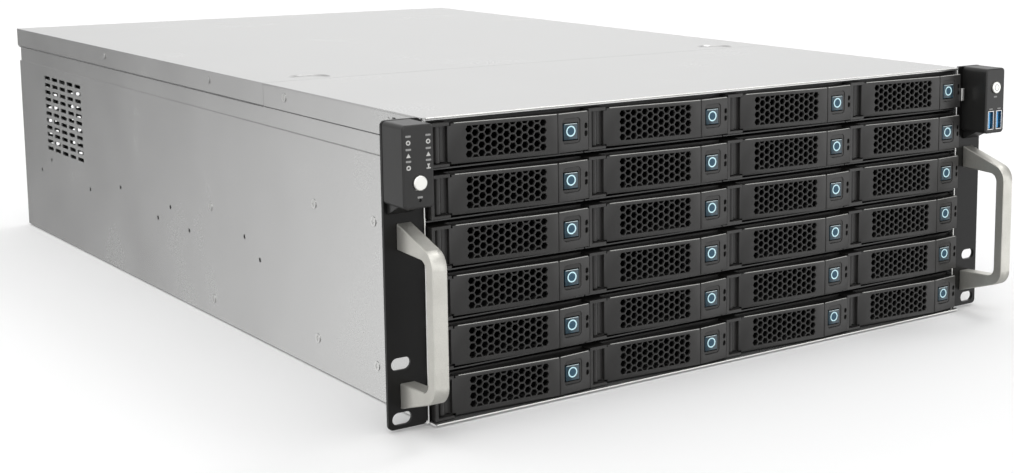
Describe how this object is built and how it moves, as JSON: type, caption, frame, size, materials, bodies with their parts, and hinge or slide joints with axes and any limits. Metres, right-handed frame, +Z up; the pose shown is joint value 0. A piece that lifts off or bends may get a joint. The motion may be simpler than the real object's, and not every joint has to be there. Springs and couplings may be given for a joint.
{
  "type": "rack storage enclosure",
  "caption": "Four-unit rack storage enclosure with rows of sliding drive trays, pull handles, two front housings, fans and a sliding rear lid.",
  "frame": {"origin": "centre of the whole footprint, on the underside", "axes": "+X right seen from the front, +Y to the rear, +Z up"},
  "size_m": [0.4826, 0.767, 0.1764],
  "materials": {
    "galvanised_steel": "zinc-coated sheet, satin, faint rolling grain",
    "black_steel": "fine-textured black powder coat",
    "satin_aluminium": "satin anodised, lengthwise brushed",
    "tray_plastic": "matte moulded plastic, fine grain",
    "button_teal": "translucent dark teal",
    "pod_plastic": "matte moulded plastic",
    "button_silver": "satin silver",
    "socket_metal": "nickel-plated shell",
    "board_green": "solder mask",
    "connector_black": "moulded",
    "fan_black": "moulded",
    "nickel_steel": "nickel plated",
    "brass": "machined"
  },
  "bodies": {
    "chassis": {"base_pan": "galvanised_steel", "front_cover": "galvanised_steel", "rear_panel": "galvanised_steel", "slot_covers": "galvanised_steel", "bay_shelves": "galvanised_steel", "fan_wall": "galvanised_steel", "bay_dividers": "black_steel", "rack_ear_left": "black_steel", "rack_ear_right": "black_steel", "psu_case": "black_steel", "handle_left": "satin_aluminium", "handle_right": "satin_aluminium", "control_pod_left": "pod_plastic", "usb_pod_right": "pod_plastic", "psu_fittings": "pod_plastic", "usb_sockets": "socket_metal", "circuit_boards": "board_green", "backplane_connectors": "connector_black", "fan_frames": "fan_black", "fan_guards": "nickel_steel", "casing_screws": "nickel_steel", "board_standoffs": "brass"},
    "rear_lid": {"rear_lid": "galvanised_steel"},
    "power_button": {"power_button": "button_silver"},
    "ident_button": {"ident_button": "button_silver"},
    "reset_button": {"reset_button": "pod_plastic"},
    "psu_rocker": {"psu_rocker": "pod_plastic"},
    "wall_fan_rotor_1": {"wall_fan_rotor_1": "fan_black"},
    "wall_fan_rotor_2": {"wall_fan_rotor_2": "fan_black"},
    "wall_fan_rotor_3": {"wall_fan_rotor_3": "fan_black"},
    "rear_fan_rotor_1": {"rear_fan_rotor_1": "fan_black"},
    "rear_fan_rotor_2": {"rear_fan_rotor_2": "fan_black"},
    "tray_r1c1": {"drive_tray_r1c1": "tray_plastic"},
    "tray_r1c2": {"drive_tray_r1c2": "tray_plastic"},
    "tray_r1c3": {"drive_tray_r1c3": "tray_plastic"},
    "tray_r1c4": {"drive_tray_r1c4": "tray_plastic"},
    "tray_r2c1": {"drive_tray_r2c1": "tray_plastic"},
    "tray_r2c2": {"drive_tray_r2c2": "tray_plastic"},
    "tray_r2c3": {"drive_tray_r2c3": "tray_plastic"},
    "tray_r2c4": {"drive_tray_r2c4": "tray_plastic"},
    "tray_r3c1": {"drive_tray_r3c1": "tray_plastic"},
    "tray_r3c2": {"drive_tray_r3c2": "tray_plastic"},
    "tray_r3c3": {"drive_tray_r3c3": "tray_plastic"},
    "tray_r3c4": {"drive_tray_r3c4": "tray_plastic"},
    "tray_r4c1": {"drive_tray_r4c1": "tray_plastic"},
    "tray_r4c2": {"drive_tray_r4c2": "tray_plastic"},
    "tray_r4c3": {"drive_tray_r4c3": "tray_plastic"},
    "tray_r4c4": {"drive_tray_r4c4": "tray_plastic"},
    "tray_r5c1": {"drive_tray_r5c1": "tray_plastic"},
    "tray_r5c2": {"drive_tray_r5c2": "tray_plastic"},
    "tray_r5c3": {"drive_tray_r5c3": "tray_plastic"},
    "tray_r5c4": {"drive_tray_r5c4": "tray_plastic"},
    "tray_r6c1": {"drive_tray_r6c1": "tray_plastic"},
    "tray_r6c2": {"drive_tray_r6c2": "tray_plastic"},
    "tray_r6c3": {"drive_tray_r6c3": "tray_plastic"},
    "tray_r6c4": {"drive_tray_r6c4": "tray_plastic"},
    "lever_r1c1": {"tray_lever_r1c1": "tray_plastic"},
    "button_r1c1": {"tray_button_r1c1": "button_teal"},
    "lever_r1c2": {"tray_lever_r1c2": "tray_plastic"},
    "button_r1c2": {"tray_button_r1c2": "button_teal"}
  },
  "joints": [
    {"name": "rear_lid_slide", "type": "slide", "parent": "chassis", "child": "rear_lid", "axis": [0, 1, 0], "range_m": [0, 0.022]},
    {"name": "lever_r1c1_hinge", "type": "hinge", "parent": "tray_r1c1", "child": "lever_r1c1", "pos_m": [-0.2075, -0.3438, 0.16075], "axis": [0, 0, -1], "range_deg": [0, 65]},
    {"name": "button_r1c1_press", "type": "slide", "parent": "tray_r1c1", "child": "button_r1c1", "axis": [0, 1, 0], "range_m": [0, 0.0018], "stiffness_N_per_m": 300},
    {"name": "lever_r1c2_hinge", "type": "hinge", "parent": "tray_r1c2", "child": "lever_r1c2", "pos_m": [-0.1003, -0.3438, 0.16075], "axis": [0, 0, -1], "range_deg": [0, 65]},
    {"name": "button_r1c2_press", "type": "slide", "parent": "tray_r1c2", "child": "button_r1c2", "axis": [0, 1, 0], "range_m": [0, 0.0018], "stiffness_N_per_m": 300},
    {"name": "power_button_press", "type": "slide", "parent": "chassis", "child": "power_button", "axis": [0, 1, 0], "range_m": [0, 0.0012], "stiffness_N_per_m": 400},
    {"name": "ident_button_press", "type": "slide", "parent": "chassis", "child": "ident_button", "axis": [0, 1, 0], "range_m": [0, 0.0012], "stiffness_N_per_m": 400},
    {"name": "reset_button_press", "type": "slide", "parent": "chassis", "child": "reset_button", "axis": [0, 1, 0], "range_m": [0, 0.0006], "stiffness_N_per_m": 200},
    {"name": "wall_fan_1_spin", "type": "hinge", "parent": "chassis", "child": "wall_fan_rotor_1", "pos_m": [-0.138, -0.1175, 0.088], "axis": [0, 1, 0], "continuous": true},
    {"name": "wall_fan_2_spin", "type": "hinge", "parent": "chassis", "child": "wall_fan_rotor_2", "pos_m": [0, -0.1175, 0.088], "axis": [0, 1, 0], "continuous": true},
    {"name": "wall_fan_3_spin", "type": "hinge", "parent": "chassis", "child": "wall_fan_rotor_3", "pos_m": [0.138, -0.1175, 0.088], "axis": [0, 1, 0], "continuous": true},
    {"name": "rear_fan_1_spin", "type": "hinge", "parent": "chassis", "child": "rear_fan_rotor_1", "pos_m": [0.066, 0.3655, 0.104], "axis": [0, 1, 0], "continuous": true},
    {"name": "rear_fan_2_spin", "type": "hinge", "parent": "chassis", "child": "rear_fan_rotor_2", "pos_m": [-0.018, 0.3655, 0.104], "axis": [0, 1, 0], "continuous": true},
    {"name": "psu_rocker_tilt", "type": "hinge", "parent": "chassis", "child": "psu_rocker", "pos_m": [0.182, 0.3765, 0.032], "axis": [1, 0, 0], "range_deg": [-16, 0]},
    {"name": "tray_r1c1_slide", "type": "slide", "parent": "chassis", "child": "tray_r1c1", "axis": [0, -1, 0], "range_m": [0, 0.16]},
    {"name": "tray_r1c2_slide", "type": "slide", "parent": "chassis", "child": "tray_r1c2", "axis": [0, -1, 0], "range_m": [0, 0.16]},
    {"name": "tray_r1c3_slide", "type": "slide", "parent": "chassis", "child": "tray_r1c3", "axis": [0, -1, 0], "range_m": [0, 0.16]},
    {"name": "tray_r1c4_slide", "type": "slide", "parent": "chassis", "child": "tray_r1c4", "axis": [0, -1, 0], "range_m": [0, 0.16]},
    {"name": "tray_r2c1_slide", "type": "slide", "parent": "chassis", "child": "tray_r2c1", "axis": [0, -1, 0], "range_m": [0, 0.16]},
    {"name": "tray_r2c2_slide", "type": "slide", "parent": "chassis", "child": "tray_r2c2", "axis": [0, -1, 0], "range_m": [0, 0.16]},
    {"name": "tray_r2c3_slide", "type": "slide", "parent": "chassis", "child": "tray_r2c3", "axis": [0, -1, 0], "range_m": [0, 0.16]},
    {"name": "tray_r2c4_slide", "type": "slide", "parent": "chassis", "child": "tray_r2c4", "axis": [0, -1, 0], "range_m": [0, 0.16]},
    {"name": "tray_r3c1_slide", "type": "slide", "parent": "chassis", "child": "tray_r3c1", "axis": [0, -1, 0], "range_m": [0, 0.16]},
    {"name": "tray_r3c2_slide", "type": "slide", "parent": "chassis", "child": "tray_r3c2", "axis": [0, -1, 0], "range_m": [0, 0.16]},
    {"name": "tray_r3c3_slide", "type": "slide", "parent": "chassis", "child": "tray_r3c3", "axis": [0, -1, 0], "range_m": [0, 0.16]},
    {"name": "tray_r3c4_slide", "type": "slide", "parent": "chassis", "child": "tray_r3c4", "axis": [0, -1, 0], "range_m": [0, 0.16]},
    {"name": "tray_r4c1_slide", "type": "slide", "parent": "chassis", "child": "tray_r4c1", "axis": [0, -1, 0], "range_m": [0, 0.16]},
    {"name": "tray_r4c2_slide", "type": "slide", "parent": "chassis", "child": "tray_r4c2", "axis": [0, -1, 0], "range_m": [0, 0.16]},
    {"name": "tray_r4c3_slide", "type": "slide", "parent": "chassis", "child": "tray_r4c3", "axis": [0, -1, 0], "range_m": [0, 0.16]},
    {"name": "tray_r4c4_slide", "type": "slide", "parent": "chassis", "child": "tray_r4c4", "axis": [0, -1, 0], "range_m": [0, 0.16]},
    {"name": "tray_r5c1_slide", "type": "slide", "parent": "chassis", "child": "tray_r5c1", "axis": [0, -1, 0], "range_m": [0, 0.16]},
    {"name": "tray_r5c2_slide", "type": "slide", "parent": "chassis", "child": "tray_r5c2", "axis": [0, -1, 0], "range_m": [0, 0.16]},
    {"name": "tray_r5c3_slide", "type": "slide", "parent": "chassis", "child": "tray_r5c3", "axis": [0, -1, 0], "range_m": [0, 0.16]},
    {"name": "tray_r5c4_slide", "type": "slide", "parent": "chassis", "child": "tray_r5c4", "axis": [0, -1, 0], "range_m": [0, 0.16]},
    {"name": "tray_r6c1_slide", "type": "slide", "parent": "chassis", "child": "tray_r6c1", "axis": [0, -1, 0], "range_m": [0, 0.16]},
    {"name": "tray_r6c2_slide", "type": "slide", "parent": "chassis", "child": "tray_r6c2", "axis": [0, -1, 0], "range_m": [0, 0.16]},
    {"name": "tray_r6c3_slide", "type": "slide", "parent": "chassis", "child": "tray_r6c3", "axis": [0, -1, 0], "range_m": [0, 0.16]},
    {"name": "tray_r6c4_slide", "type": "slide", "parent": "chassis", "child": "tray_r6c4", "axis": [0, -1, 0], "range_m": [0, 0.16]}
  ]
}
